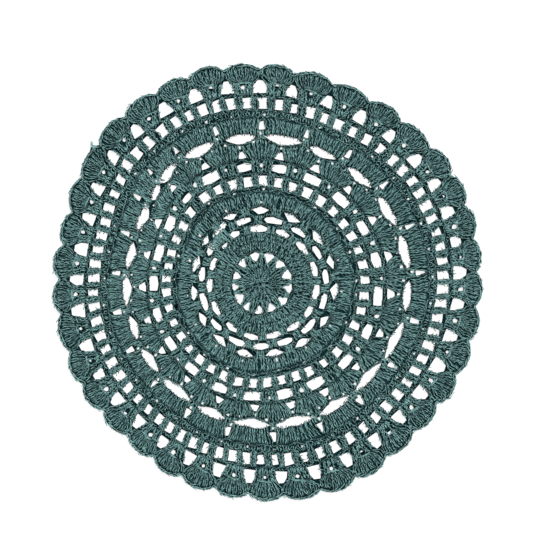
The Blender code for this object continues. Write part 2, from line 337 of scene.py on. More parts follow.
def tube_parts(paths, girths, shade, sides=STRAND_SIDES):
    """Return points, corners, face sizes, UV and shade of closed tubes along paths, (n, m, 3) in mm.

    A ring of a tube is centre + r (cos a * side + sin a * rise): side is level and square to the run,
    rise is square to both, a goes round in equal steps, and r is half the girth, drawn in at the ends.
    No tube reaches down to the table. UV is the length along the yarn in mm, and the share of the
    way round it.
    """
    count, steps, _ = paths.shape
    run = np.gradient(paths, axis=1)
    run /= np.linalg.norm(run, axis=2, keepdims=True)
    side = np.cross((0.0, 0.0, 1.0), run)
    side /= np.linalg.norm(side, axis=2, keepdims=True)
    rise = np.cross(run, side)
    around = FULL * np.arange(sides) / sides
    reach = np.broadcast_to(girths, (count, steps)) / 2
    taper = np.ones(steps)
    taper[[0, -1]] = END_TAPER
    levels = np.maximum(paths[..., 2], reach + OVER_TABLE)
    paths = np.concatenate([paths[..., :2], levels[..., None]], axis=-1)
    reach = (reach * taper)[:, :, None, None]
    points = paths[:, :, None] + reach * (np.cos(around)[:, None] * side[:, :, None]
                                          + np.sin(around)[:, None] * rise[:, :, None])
    quads, caps = tube_faces(count, steps, sides)
    corners = np.concatenate([quads.ravel(), caps.ravel()])
    sizes = np.concatenate([np.full(quads.size // 4, 4), np.full(len(caps), sides)])
    gone = np.cumsum(np.linalg.norm(np.diff(paths, axis=1), axis=2), axis=1)
    gone = np.concatenate([np.zeros((count, 1)), gone], axis=1) + dice.uniform(0, 10, (count, 1))
    u = np.repeat(gone.ravel(), sides)
    v = np.tile(np.arange(sides) / sides, count * steps)
    uv = np.stack([u[corners], v[corners]], axis=1)
    wraps = (np.arange(sides)[:, None] == sides - 1) & np.array([False, True, True, False])
    uv[:quads.size, 1] += np.broadcast_to(wraps, quads.shape).ravel()
    return points.reshape(-1, 3), corners, sizes, uv, np.repeat(shade, steps * sides)


def dress(mesh, uv, shade):
    """Give a mesh the yarn, its UV at each corner of a face and one shade a point."""
    mesh.uv_layers.new(name="yarn run").data.foreach_set("uv", uv.astype(np.float32).ravel())
    mesh.attributes.new("shade", "FLOAT", "POINT").data.foreach_set("value", shade.astype(np.float32))
    mesh.materials.append(yarn)


def mesh_of(name, points, corners, sizes, uv, shade):
    """Return a smooth mesh from points in mm, face corners, face sizes, UV and one shade a point."""
    mesh = bpy.data.meshes.new(name)
    mesh.vertices.add(len(points))
    mesh.vertices.foreach_set("co", (points * MM).astype(np.float32).ravel())
    mesh.loops.add(len(corners))
    mesh.loops.foreach_set("vertex_index", corners.astype(np.int32))
    mesh.polygons.add(len(sizes))
    mesh.polygons.foreach_set("loop_start", (np.cumsum(sizes) - sizes).astype(np.int32))
    mesh.update(calc_edges=True)
    dress(mesh, uv, shade)
    mesh.shade_smooth()
    return mesh


def added(name, data):
    """Return a new object of the scene."""
    made = bpy.data.objects.new(name, data)
    bpy.context.scene.collection.objects.link(made)
    return made


def work(name, batches, gaps=None):
    """Return one round of the mat as an object, from its batches of strands and its small gaps."""
    if gaps is not None:
        batches = [laid_aside(*batch, gaps) if batch[0].shape[1] == LOOP_STEPS else batch
                   for batch in batches]
    points, corners, *others = zip(*[tube_parts(*batch) for batch in batches])
    starts = np.cumsum([0] + [len(block) for block in points[:-1]])
    corners = [block + start for block, start in zip(corners, starts)]
    joined = [np.concatenate(column) for column in (points, corners, *others)]
    return added(name, mesh_of(name, *joined))


def linear(colour):
    """Return an sRGB hex colour as linear RGBA."""
    channels = [int(colour[place:place + 2], 16) / 255 for place in (1, 3, 5)]
    return [c / 12.92 if c <= 0.04045 else ((c + 0.055) / 1.055) ** 2.4 for c in channels] + [1.0]


def node(tree, kind, settings=(), inputs=()):
    """Add a node; settings are its own properties, inputs are values or sockets by name or number."""
    made = tree.nodes.new(kind)
    for key, value in dict(settings).items():
        setattr(made, key, value)
    for key, value in dict(inputs).items():
        if isinstance(value, bpy.types.NodeSocket):
            tree.links.new(value, made.inputs[key])
        else:
            made.inputs[key].default_value = value
    return made


# Mercerised cotton, two plies laid together, dyed dark teal: a soft gloss and a painted highlight on
# the crests of the strands, painted shade between them. The ply lies at a slant of about one turn in 3 mm
# of yarn. A point's tone is BASE_TONE and weighted shares: painted shade by how high it lies, its strand's
# shade value from dyeing, fibre, fading, the ply's relief painted as shade and light, and a painted crest
# highlight.
PLY_LAY = 3.0
LOW_TONE_HEIGHT = 1.0
HIGH_TONE_HEIGHT = 2.6
BASE_TONE = -0.44
yarn = bpy.data.materials.new("mercerised cotton yarn")
yarn.use_nodes = True
tree = yarn.node_tree
shader = tree.nodes["Principled BSDF"]
run = node(tree, "ShaderNodeUVMap", {"uv_map": "yarn run"})
split = node(tree, "ShaderNodeSeparateXYZ", {}, {0: run.outputs["UV"]})
# The ply's wave drives a real bump, and in the tone it is painted too: painted shade in its grooves and
# painted light on its ridges.
along = node(tree, "ShaderNodeMath", {"operation": "MULTIPLY"}, {0: split.outputs["X"], 1: 1 / PLY_LAY})
round_it = node(tree, "ShaderNodeMath", {"operation": "MULTIPLY"}, {0: split.outputs["Y"], 1: 2.0})
lay = node(tree, "ShaderNodeMath", {"operation": "ADD"}, {0: along.outputs[0], 1: round_it.outputs[0]})
angle = node(tree, "ShaderNodeMath", {"operation": "MULTIPLY"}, {0: lay.outputs[0], 1: FULL})
ply = node(tree, "ShaderNodeMath", {"operation": "SINE"}, {0: angle.outputs[0]})
# Painted highlight and shade: a strand is coloured paler on its top, a quarter of the way round it, and
# darker underneath, as light from above falls on it.
round_once = node(tree, "ShaderNodeMath", {"operation": "MULTIPLY"}, {0: split.outputs["Y"], 1: FULL})
across = node(tree, "ShaderNodeMath", {"operation": "SINE"}, {0: round_once.outputs[0]})
crest = node(tree, "ShaderNodeMath", {"operation": "POWER"}, {0: across.outputs[0], 1: 3.0})
place = node(tree, "ShaderNodeTexCoord")
height = node(tree, "ShaderNodeSeparateXYZ", {}, {0: place.outputs["Object"]})
# Painted shade: a point is coloured darker the lower it lies, from HIGH_TONE_HEIGHT down to LOW_TONE_HEIGHT,
# for the shade between and under the strands. The same share makes high points glossier.
height_for_painted_shade_and_gloss = node(tree, "ShaderNodeMapRange", {}, {"Value": height.outputs["Z"], "From Min": LOW_TONE_HEIGHT * MM,
                                             "From Max": HIGH_TONE_HEIGHT * MM})
fibre, fade = (node(tree, "ShaderNodeTexNoise", {}, {"Vector": place.outputs["Object"], "Scale": scale,
                                                     "Detail": detail}).outputs["Fac"]
               for scale, detail in ((900.0, 3.0), (22.0, 2.0)))
# The shade attribute holds each strand's uneven dyeing and, on some strands, painted shade and painted light:
# the low strands behind the stitches are set darker and the rim braid paler.
dye_and_painted_light = node(tree, "ShaderNodeAttribute", {"attribute_name": "shade"})
tone = BASE_TONE
for part, weight in ((height_for_painted_shade_and_gloss.outputs[0], 0.8), (dye_and_painted_light.outputs["Fac"], 0.46), (fibre, 0.3), (fade, 0.12),
                     (ply.outputs[0], 0.1), (crest.outputs[0], 0.38)):
    share = node(tree, "ShaderNodeMath", {"operation": "MULTIPLY_ADD"}, {0: part, 1: weight, 2: tone})
    tone = share.outputs[0]
ramp = node(tree, "ShaderNodeValToRGB", {}, {"Fac": tone})
stops = ramp.color_ramp.elements
stops[0].position, stops[0].color = 0.15, linear("#030f11")
stops[1].position, stops[1].color = 0.9, linear("#93c8c5")
stops.new(0.55).color = linear("#1d4f52")
tree.links.new(ramp.outputs["Color"], shader.inputs["Base Color"])
bump = node(tree, "ShaderNodeBump", {}, {"Strength": 0.8, "Distance": 0.3 * MM, "Height": ply.outputs[0]})
tree.links.new(bump.outputs["Normal"], shader.inputs["Normal"])
gloss = node(tree, "ShaderNodeMath", {"operation": "MULTIPLY"}, {0: height_for_painted_shade_and_gloss.outputs[0], 1: 0.6})
tree.links.new(gloss.outputs[0], shader.inputs["Specular IOR Level"])
shader.inputs["Roughness"].default_value = 0.42
shader.inputs["Sheen Weight"].default_value = 0.05

ROSE_GAPS = facing(13, (0, 17), (3, 102), (5, 163), (9, 265), (12, 349))
ROSE_WEDGE = ((0, -1), (0.6, -0.1), (1, 0.85), (-0.1, 1), (-1, 0.8), (-0.6, -0.15))
ROSE_ROUNDS = ((0.8, 9.0, 18), (6.5, 18.0, 42))
DARKER = -0.14

rose_gaps = gap_corners(ROSE_GAPS, radius=22.8, half_width=3.9, half_depth=3.9, outline=ROSE_WEDGE)
batches = []
for base, top, count in ROSE_ROUNDS:
    batches += tall_stitches(*even_round(base, top, count), crowd=0.2, pitch=1.5, length=3.6, slant=22.0,
                             unrest=26.0, paler=DARKER)
columns = posts(rose_gaps, after=(0, 1, 2), before=(0, 5, 4), base=15.0, top=27.4,
                base_shares=(0.1, 0.37, 0.63, 0.9), top_shares=(0.15, 0.38, 0.62, 0.85))
batches += tall_stitches(*columns, pitch=1.8, length=4.2, unrest=16.0)
batches += chain_round(radius=28.0)
rose = work("rose", batches)
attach(rose, "root")
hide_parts("placemat")

# The disc: two rounds of tall stitches on the rose, each with the loops of its own tops.
# The same yarn. Each round is worked into the loops of the one before.

DISC_ROUNDS = ((28.0, 36.6, 112), (35.2, 43.8, 140))

batches = []
for base, top, count in DISC_ROUNDS:
    batches += tall_stitches(*even_round(base, top, count), pitch=1.9, length=4.4, slant=16.0, unrest=20.0,
                             paler=DARKER)
batches += chain_round(radius=44.0)
disc = work("disc", batches)
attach(disc, "root")
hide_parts("placemat")

# The arches: three rounds of fifteen chain arches that stand staggered on each other.
# Chains of the same yarn. Each arch is caught at its ends on the tops of the arches below.

ARCH_WIDTH = 4.3
ARCH_STEPS = 25
ARCH_BAR = ((-0.9, -0.8), (0.1, -1), (0.95, -0.6), (1, 0.7), (0, 1), (-1, 0.4))
ARCH_LENS = ((-0.95, -0.5), (-0.2, -1), (0.6, -0.9), (1, -0.3), (0.8, 0.5), (0.1, 1), (-0.85, 0.7))
ARCH_SLIVER = ((-1, 0.3), (-0.3, -0.7), (0.15, -1), (1, 0.6), (0, 1))
FIRST_ARCHES = facing(15, (0, 15), (4, 119.5), (5, 134.5), (7, 182.5), (9, 235.5), (13, 329), (14, 349))
SECOND_ARCHES = facing(15, (0, 5.5), (1, 29), (3, 79.5), (4, 107), (5, 129), (6, 145.5), (8, 198),
                       (10, 247), (12, 291), (14, 343))
THIRD_ARCHES = facing(15, (0, 17), (1, 39.5), (3, 91.5), (4, 116), (5, 144), (6, 164), (7, 189),
                      (10, 256), (13, 327.5), (14, 353))
# A round's peaks, the radii of its feet and crests, its fullness and the crests lifted at the join.
ARCH_ROUNDS = ((FIRST_ARCHES, 44.6, 51.6, 4.0, ((5, -2.4),)), (SECOND_ARCHES, 52.2, 60.0, 3.2, ((5, 3.2),)),
               (THIRD_ARCHES, 60.6, 66.3, 2.6, ()))
CLUSTER_SPREAD = 0.12
CLUSTER_ASIDE = 0.5
SHORT_STITCH = {"pitch": 1.3, "length": 3.6}
JOIN_DIRECTIONS = np.array((129.0, 141.0))
JOIN_OFFSETS = (-4.5, -3.0, -1.5, 0.0, 1.5, 3.0, 4.5)

# The chains are laid by their feet and crests. The gaps under them are only drawn here, so that the
# sheet's draws stay in step for the rounds that follow.
gap_corners(FIRST_ARCHES, radius=47.5, half_width=6.2, half_depth=2.4, outline=ARCH_BAR,
            seams=((4, (0.8, 0.0)), (5, (0.55, -1.4))))
gap_corners(SECOND_ARCHES, radius=55.6, half_width=7.3, half_depth=2.4, outline=ARCH_LENS,
            seams=((5, (0.95, 3.4)),))
gap_corners(THIRD_ARCHES, radius=62.6, half_width=7.5, half_depth=2.8, outline=ARCH_SLIVER,
            seams=((5, (0.7, 0.3)),))


def midway(directions):
    """Return the directions midway between neighbours, the last one past the first."""
    return (directions + np.append(directions[1:], directions[0] + TURN)) / 2


def room_of(directions):
    """Return where the room of each direction starts and ends: midway to its neighbours."""
    ends = midway(directions)
    return np.append(ends[-1] - TURN, ends[:-1]), ends


def arches(peaks, foot, crest, fullness, lifted):
    """Return one chain arch over each peak direction, from foot to foot midway between the peaks.

    With t from -1 to 1 across an arch, its radius is foot + (crest - foot) * (1 - |t|**fullness).
    Lifted gives how much further out or in the crest of a numbered arch stands.
    """
    found = []
    for number, (start, end) in enumerate(zip(*room_of(peaks))):
        t = np.linspace(-1, 1, ARCH_STEPS)
        crown = crest + dict(lifted).get(number, 0.0)
        radius = foot + (crown - foot) * (1 - abs(t) ** fullness)
        found += chain(on_mat(radius, start + (end - start) * (t + 1) / 2), ARCH_WIDTH)
    return found


def clusters(centres, base, top, base_offsets, top_offsets):
    """Return radius and direction of the stitches of clusters, each beside its cluster's centre.

    An offset is in mm along the round. With s from 0 to 1 outward it goes straight from its base value
    to its top value. No two clusters are alike: their feet and tops stand a little aside, and they are
    pulled narrower or left wider.
    """
    s = np.linspace(0, 1, STITCH_STEPS)
    radius = base + (top - base) * s
    shape = (len(centres), 1, 1)
    low, high = (np.array(offsets)[:, None] * dice.normal(1, CLUSTER_SPREAD, shape)
                 + dice.normal(0, CLUSTER_ASIDE, shape) for offsets in (base_offsets, top_offsets))
    return stitch_rows(radius, centres[:, None, None] + np.degrees((low + (high - low) * s) / radius))


def feet(peaks, foot):
    """Return the pairs of short stitches that hold the feet of a round of arches."""
    pairs = clusters(midway(peaks), base=foot - 1.6, top=foot + 6.4, base_offsets=(-3.0, -1.0, 1.0, 3.0),
                     top_offsets=(-2.6, -0.9, 0.9, 2.6))
    return tall_stitches(*pairs, **SHORT_STITCH)


batches = []
for peaks, foot, crest, fullness, lifted in ARCH_ROUNDS:
    batches += arches(peaks, foot, crest, fullness, lifted) + feet(peaks, foot)
joins = clusters(JOIN_DIRECTIONS, base=49.0, top=57.5, base_offsets=JOIN_OFFSETS, top_offsets=JOIN_OFFSETS)
batches += tall_stitches(*joins, **SHORT_STITCH)
arch_rounds = work("chain_arches", batches)
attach(arch_rounds, "root")
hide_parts("placemat")

# The inner shells: fifteen shells of tall stitches, one in each arch, then two rows of loops.
# The same yarn. A shell's stitches share an arch, so they spread from it like a fan.

INNER_SHELL = 18
INNER_MESH = facing(41, (0, 1.5), (4, 36), (7, 64), (14, 124.5), (15, 136), (18, 162.5), (21, 186),
                    (24, 213.5), (29, 256), (34, 297.5), (37, 326), (40, 352.5))


def spray(room, shells, base_half, top_half, base_radius, top_radius, count, bow=1.0, uneven=0.0):
    """Return radius and direction of shells' stitches, (shells * count, steps).

    t runs -1 to 1 over a shell's stitches and s 0 to 1 from base to top. The direction is the middle
    + t * (base_half + (top_half - base_half) * (1 - (1 - s)**p)), where p = 1 + (bow - 1) t*t and the
    halves are shares of the shell's room to a side. Room gives where each shell's room starts and ends
    at a radius. Base and top radius are functions of t and of the shell's number. Uneven is how far
    the base half of one shell may differ.
    """
    t = np.linspace(-1, 1, count)[None, :, None]
    s = np.linspace(0, 1, STITCH_STEPS)
    number = np.arange(shells)[:, None, None]
    base_half = base_half + dice.uniform(-1, 1, number.shape) * uneven
    spread = base_half + (top_half - base_half) * (1 - (1 - s) ** (1 + (bow - 1) * t ** 2))
    low, high = base_radius(t, number), top_radius(t, number)
    radius = np.broadcast_to(low + (high - low) * s, spread.shape)
    start, end = room(radius)
    return stitch_rows(radius, (start + end) / 2 + t * spread * (end - start) / 2)


def shell_row(radius, rise=0.0):
    """Return a row of shells at radius + rise * t*t, as a function of t and of the shell's number."""
    return lambda t, number: radius + rise * t ** 2


def inner_room(radius):
    """Return where the room of each inner shell starts and ends, the same at every radius."""
    return tuple(side[:, None, None] for side in room_of(THIRD_ARCHES))


# Small gaps, under 4 mm: the yarn parts a little there. They are uneven in size, corners and place,
# and the strands near one are laid aside from it.
SMALL_GAP_CORNERS = 6
SMALL_GAP_SIZES = (0.55, 1.15)
SMALL_GAP_REACHES = (0.6, 1.25)
SMALL_GAP_DRIFT = 0.7
SMALL_GAP_ROOM = 1.3
LONG_STRAND = 8.0


def small_gaps(directions, radius, half_width, half_depth):
    """Return x and y in mm of the corners of small gaps, (n, corners, 2), each a little uneven.

    A corner at angle a stands half_width * cos(a) back along the round and half_depth * sin(a) out.
    """
    a = FULL * np.arange(SMALL_GAP_CORNERS) / SMALL_GAP_CORNERS
    count = len(directions)
    size = dice.uniform(*SMALL_GAP_SIZES, (count, 1))
    size = size * dice.uniform(*SMALL_GAP_REACHES, (count, SMALL_GAP_CORNERS))
    aside = dice.normal(0, SMALL_GAP_DRIFT, (count, 1))
    beside = np.degrees((aside - half_width * size * np.cos(a)) / radius)
    outward = dice.normal(0, SMALL_GAP_DRIFT, (count, 1)) + half_depth * size * np.sin(a)
    return on_mat(radius + outward, directions[:, None] + beside)


def laid_aside(paths, girths, shade, gaps):
    """Return a batch of short strands with each that would cross a small gap laid beside it.

    A strand is taken as straight. It moves square to its run until it is half a girth clear of
    SMALL_GAP_ROOM times the gap's mean half width on that line. A strand longer than LONG_STRAND
    goes under other stitches instead, and is left out.
    """
    flat = paths[..., :2]
    centre = flat.mean(axis=1)
    length = np.linalg.norm(flat[:, -1] - flat[:, 0], axis=1)
    run = (flat[:, -1] - flat[:, 0]) / length[:, None]
    side = np.stack([-run[:, 1], run[:, 0]], axis=1)
    middle = gaps.mean(axis=1)
    nearest = np.argmin(((centre[:, None] - middle) ** 2).sum(axis=2), axis=1)
    toward = middle[nearest] - centre
    beside = (toward * side).sum(axis=1)
    spokes = gaps[nearest] - middle[nearest][:, None]
    clear = abs((spokes * side[:, None]).sum(axis=2)).mean(axis=1) * SMALL_GAP_ROOM + girths[:, 1] / 2
    near = abs((spokes * run[:, None]).sum(axis=2)).max(axis=1) + length / 2
    crossed = (abs((toward * run).sum(axis=1)) < near) & (abs(beside) < clear)
    move = np.where(crossed, np.sign(beside) * (clear - abs(beside)), 0.0)
    paths = paths - at_level(side * move[:, None], 0.0)[:, None]
    kept = ~crossed | (length < LONG_STRAND)
    return paths[kept], girths[kept], shade[kept]


inner = spray(inner_room, len(THIRD_ARCHES), base_half=0.84, top_half=0.95,
              base_radius=shell_row(66.6, rise=-3.6), top_radius=shell_row(78.2), count=INNER_SHELL,
              uneven=0.07)
shell_small_gaps = np.concatenate([small_gaps(THIRD_ARCHES, radius=69.0, half_width=0.8, half_depth=1.1),
                                   small_gaps(INNER_MESH[::2], radius=80.6, half_width=0.9, half_depth=0.8)])
inner_shells = work("inner_shells", tall_stitches(*inner, crowd=0.25, opening=0.1)
                    + chain_round(radius=79.2)
                    + chain_round(radius=82.3, width=3.6), shell_small_gaps)
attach(inner_shells, "root")
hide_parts("placemat")

# The inner mesh: forty-one posts of two stitches side by side, closed by a round of chain.
# The same yarn, loosely worked, so the posts lean and the windows between them differ.
# Each stitch of a post shows as two lines of loops.

MESH_WINDOW = ((-0.95, -0.9), (0.85, -1), (0.66, 0), (1, 0.9), (-0.85, 1), (-0.68, 0.05))
WINDOW_AFTER = (1, 2, 3)
WINDOW_BEFORE = (0, 5, 4)
POST_SHARES = (0.15, 0.38, 0.62, 0.85)
POST_STITCH = {"pitch": 1.8, "length": 4.0, "slant": 16.0, "unrest": 18.0, "belly": 0.6, "paler": -0.08}

inner_windows = gap_corners(INNER_MESH, radius=88.0, half_width=3.9, half_depth=3.9, outline=MESH_WINDOW)
inner_posts = posts(inner_windows, WINDOW_AFTER, WINDOW_BEFORE, base=81.6, top=94.8,
                    base_shares=POST_SHARES, top_shares=POST_SHARES)
inner_mesh = work("inner_mesh", tall_stitches(*inner_posts, **POST_STITCH)
                  + chain_round(radius=94.2, width=4.1))
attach(inner_mesh, "root")
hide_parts("placemat")

# The ladder: twenty-one pairs of posts that spread from a narrow base, closed by a round of chain.
# The same yarn. Two stitches, a chain space and two more are worked into one place.

LADDER = facing(21, (0, 11), (3, 64.5), (6, 117), (8, 148), (12, 213.5), (15, 264.5), (17, 297.5),
                (20, 353))
MESH_BAR = ((-1, -0.75), (0.1, -1), (1, -0.85), (0.95, 0.8), (-0.1, 0.95), (-0.95, 1))
PAIR_STITCH = {"pitch": 1.7, "length": 4.0, "slant": 16.0, "unrest": 18.0, "belly": 0.3}

bars = gap_corners(LADDER, radius=99.8, half_width=6.7, half_depth=3.6, outline=MESH_BAR,
                   seams=((7, (0.55, -1.5)),))
ladder_posts = posts(bars, after=(2, 3), before=(0, 5), base=94.4, top=105.8,
                     base_shares=(0.07, 0.19, 0.31, 0.44, 0.56, 0.69, 0.81, 0.93),
                     top_shares=(0.07, 0.17, 0.28, 0.38, 0.62, 0.72, 0.83, 0.93))
ladder_small_gaps = small_gaps(midway(LADDER), radius=101.6, half_width=1.6, half_depth=1.8)
ladder = work("ladder", tall_stitches(*ladder_posts, **PAIR_STITCH)
              + chain_round(radius=105.4, width=4.2), ladder_small_gaps)
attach(ladder, "root")
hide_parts("placemat")

# The fans: twenty-one fans over the ladder's pairs, with a tent-shaped gap between neighbours.
# The same yarn. All of a fan's stitches go into one chain space, and its tops make a scallop.

TENTS = facing(21, (0, 12), (3, 65.5), (6, 117), (8, 151), (12, 214), (14, 249), (16, 282.5), (17, 299),
               (20, 354.5))
TENT = ((-1, -0.9), (1, -1), (0.35, 0.75), (-0.25, 1))
TENT_AFTER = (1, 2, 4)
TENT_BEFORE = (0, 3, 4)
FAN_STITCHES = 19
FAN_VALLEY = 120.2
FAN_PEAK = 125.8
FAN_FULLNESS = 1.15
FAN_EDGE_STEPS = 16
JOIN_FAN = 7
JOIN_FAN_DROP = 5.0
JOIN_FAN_DIRECTIONS = np.array((132.6,))


def room_between(gaps, after, before):
    """Return where the room of each shell between two gaps starts and ends, as a function of radius."""
    return lambda radius: space_between(gaps, after, before, radius)


def fan_row(inset):
    """Return a row inset mm inside the fans' edges.

    An edge is valley + (peak - valley) * (1 - |t|)**fullness, less the fan's drop * (1 - |t|).
    """
    return lambda t, number: (FAN_VALLEY + (FAN_PEAK - FAN_VALLEY) * (1 - abs(t)) ** FAN_FULLNESS - inset
                              - fan_drop[number] * (1 - abs(t)))


def closed_at(gaps, radius):
    """Return gaps with one more corner, where the stitches on both sides of a gap meet beyond it."""
    meeting = np.stack([gaps[:, :, 0].mean(axis=1), np.full(len(gaps), radius)], axis=1)
    return np.concatenate([gaps, meeting[:, None]], axis=1)


tents = closed_at(gap_corners(TENTS, radius=110.5, half_width=4.2, half_depth=2.8, outline=TENT,
                              seams=((7, (0.8, 3.0)),)), radius=116.5)
fan_centres = midway(TENTS)
fan_half = fan_centres - TENTS
fan_drop = np.zeros(len(TENTS))
fan_drop[JOIN_FAN] = JOIN_FAN_DROP
fans_laid = spray(room_between(tents, TENT_AFTER, TENT_BEFORE), len(TENTS), base_half=0.8, top_half=0.95,
                  base_radius=shell_row(106.0), top_radius=fan_row(1.7), count=FAN_STITCHES, bow=2.4)
batches = tall_stitches(*fans_laid, crowd=0.35, opening=0.1)
edge_t = np.linspace(-1, 1, FAN_EDGE_STEPS + 1)[:-1]
edge_directions = fan_centres[:, None] + fan_half[:, None] * edge_t
edge_radii = fan_row(1.3)(edge_t, np.arange(len(TENTS))[:, None])
batches += chain(on_mat(edge_radii.ravel(), edge_directions.ravel()), width=EDGE_WIDTH, slant=18.0,
                 unrest=15.0, closed=True)
fan_small_gaps = np.concatenate([
    small_gaps(TENTS, radius=117.4, half_width=0.9, half_depth=1.4),
    small_gaps(fan_centres + 0.36 * fan_half, radius=120.6, half_width=1.0, half_depth=0.9),
    small_gaps(fan_centres - 0.3 * fan_half, radius=121.4, half_width=1.1, half_depth=0.9)])
join_fan = clusters(JOIN_FAN_DIRECTIONS, base=102.5, top=111.0,
                    base_offsets=(-5.0, -3.0, -1.0, 1.0, 3.0, 5.0),
                    top_offsets=(-4.5, -2.7, -0.9, 0.9, 2.7, 4.5))
batches += tall_stitches(*join_fan, **SHORT_STITCH)
fans = work("fans", batches, fan_small_gaps)
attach(fans, "root")
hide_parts("placemat")

# The band: twenty-two broad shells of tall stitches, worked over long chains that leave slits below.
# The same yarn. The stitches wrap the chain, so the edge of each slit is their row of bases.

OUTER_MESH = facing(74, (0, 2), (9, 43.5), (11, 54.5), (20, 101), (24, 119), (26, 130), (30, 150),
                    (38, 188.5), (47, 232.5), (49, 241.5), (57, 277.5), (60, 293), (62, 304),
                    (66, 324.5), (73, 357.5))
SLITS = facing(22, (0, 12), (3, 65.5), (6, 116.5), (7, 132), (8, 140.5), (9, 152.5), (10, 169),
               (12, 199.5), (13, 214.5), (16, 264.5), (19, 317.5), (21, 354.5))
SLIT = ((-1, 0.35), (-0.55, -0.4), (-0.2, -0.9), (0.2, -1), (0.6, -0.45),
        (1, 0.3), (0.6, 0.8), (0.2, 1), (-0.25, 0.85), (-0.6, 0.95))
SLIT_OUTER_SIDE = (0, 9, 8, 7, 6, 5)
SLIT_RADIUS = 124.2
SLIT_SHARE = 0.41
BAND_STITCHES = 20
BAND_SHARES = np.linspace(0.03, 0.97, BAND_STITCHES)
SHORT_ROW_STITCHES = 400
SHORT_ROW_STEPS = 5

band_start, band_end = room_of(SLITS)
slit_half_width = np.radians((band_end - band_start) * SLIT_SHARE) * SLIT_RADIUS
slits = gap_corners(SLITS, SLIT_RADIUS, slit_half_width, half_depth=3.9, outline=SLIT,
                    seams=((8, (0.75, -2.0)),))
shell_gaps = gap_corners(midway(SLITS), radius=135.4, half_width=2.3, half_depth=4.0, outline=TENT,
                         seams=((7, (0.6, 1.5)), (8, (0.8, 2.0))))
shell_gaps = closed_at(np.roll(shell_gaps, 1, axis=0), radius=141.5)
shell_gaps[0, :, 0] -= TURN
base_turns = band_start[:, None] + (band_end - band_start)[:, None] * BAND_SHARES
band_base = np.stack([np.interp(row, slit[SLIT_OUTER_SIDE, 0], slit[SLIT_OUTER_SIDE, 1])
                      for row, slit in zip(base_turns, slits)])
band_base += dice.normal(-0.4, 0.35, band_base.shape)
band_laid = spray(room_between(shell_gaps, TENT_AFTER, TENT_BEFORE), len(SLITS), base_half=0.92,
                  top_half=0.96, base_radius=lambda t, number: band_base[:, :, None],
                  top_radius=shell_row(142.2), count=BAND_STITCHES)
short_row = even_round(143.2, 148.0, SHORT_ROW_STITCHES, SHORT_ROW_STEPS)
tie_centres = midway(SLITS)
ties = clusters(tie_centres, base=122.4, top=131.4, base_offsets=(-3.0, -1.4, 1.4, 3.0),
                top_offsets=(-1.8, 2.4, -2.4, 1.8))
band_small_gaps = np.concatenate([
    small_gaps(tie_centres + 0.5, radius=128.6, half_width=1.2, half_depth=1.2),
    small_gaps(OUTER_MESH[::2], radius=145.2, half_width=0.9, half_depth=0.8)])
band = work("band", tall_stitches(*band_laid, crowd=0.15)
            + tall_stitches(*ties)
            + chain_round(radius=142.9)
            + tall_stitches(*short_row, length=3.8, slant=16.0, unrest=18.0)
            + chain_round(radius=148.2, width=3.5), band_small_gaps)
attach(band, "root")
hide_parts("placemat")

# The outer mesh: seventy-four posts of two stitches side by side, closed by a round of chain.
# The same yarn, worked as loosely as the inner mesh, so its windows differ too.

outer_windows = gap_corners(OUTER_MESH, radius=155.0, half_width=3.8, half_depth=4.8, outline=MESH_WINDOW)
outer_posts = posts(outer_windows, WINDOW_AFTER, WINDOW_BEFORE, base=148.2, top=162.2,
                    base_shares=POST_SHARES, top_shares=POST_SHARES)
outer_mesh = work("outer_mesh", tall_stitches(*outer_posts, **POST_STITCH)
                  + chain_round(radius=161.9, width=4.4))
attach(outer_mesh, "root")
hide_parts("placemat")

# The pairs under the rim: thirty-seven pairs of posts that spread from one place of the chain.
# The same yarn. Each pair holds the chain space that a rim shell is worked into.

DOORS = facing(37, (0, 2.5), (4, 39), (6, 60), (8, 82), (12, 120.5), (15, 151), (19, 189), (20, 200),
               (23, 228), (28, 274.5), (32, 314.5), (36, 353))
MESH_DOOR = ((-1, -1), (1, -0.95), (0.8, 0.1), (0.35, 1), (-0.35, 1), (-0.75, 0.2))
DOOR_AFTER = (1, 2, 3, 6)
DOOR_BEFORE = (0, 5, 4, 6)
PAIR_BASE = 162.0

doors = closed_at(gap_corners(DOORS, radius=169.9, half_width=5.6, half_depth=5.5, outline=MESH_DOOR),
                  radius=180.0)
rim_centres = midway(DOORS)
pair_posts = posts(doors, DOOR_AFTER, DOOR_BEFORE, base=PAIR_BASE, top=174.4,
                   base_shares=(0.07, 0.18, 0.29, 0.41, 0.59, 0.71, 0.82, 0.93),
                   top_shares=(0.06, 0.15, 0.24, 0.34, 0.66, 0.76, 0.85, 0.94))
pair_hearts = clusters(rim_centres, base=PAIR_BASE, top=168.6, base_offsets=(-1.4, 0.0, 1.4),
                       top_offsets=(-2.6, 0.0, 2.6))
pair_bars = clusters(rim_centres, base=173.2, top=174.6, base_offsets=(-6.5, -4.5), top_offsets=(4.5, 6.5))
pair_small_gaps = small_gaps(rim_centres, radius=171.0, half_width=1.5, half_depth=1.7)
rim_pairs = work("rim_pairs", tall_stitches(*pair_posts, **PAIR_STITCH)
                 + tall_stitches(*pair_hearts, pitch=2.0)
                 + tall_stitches(*pair_bars, pitch=1.6), pair_small_gaps)
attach(rim_pairs, "root")
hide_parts("placemat")

# The rim shells: thirty-seven full shells that stand proud as scallops.
# The same yarn. The stitches spread from one chain space, the outermost leaning hard aside.

RIM_STITCHES = 16
SHELL_PEAK = 2.0
SHELL_VALLEY = -3.6
SHELL_FULLNESS = 2.4
BRAID_WIDTH = 3.8
BRAID_OVERLAP = 1.2
RIM_UNEVENNESS = 0.6
shell_heights = np.array([SHELL_PEAK + sheet_dice.uniform(-RIM_UNEVENNESS, RIM_UNEVENNESS) for _ in DOORS])


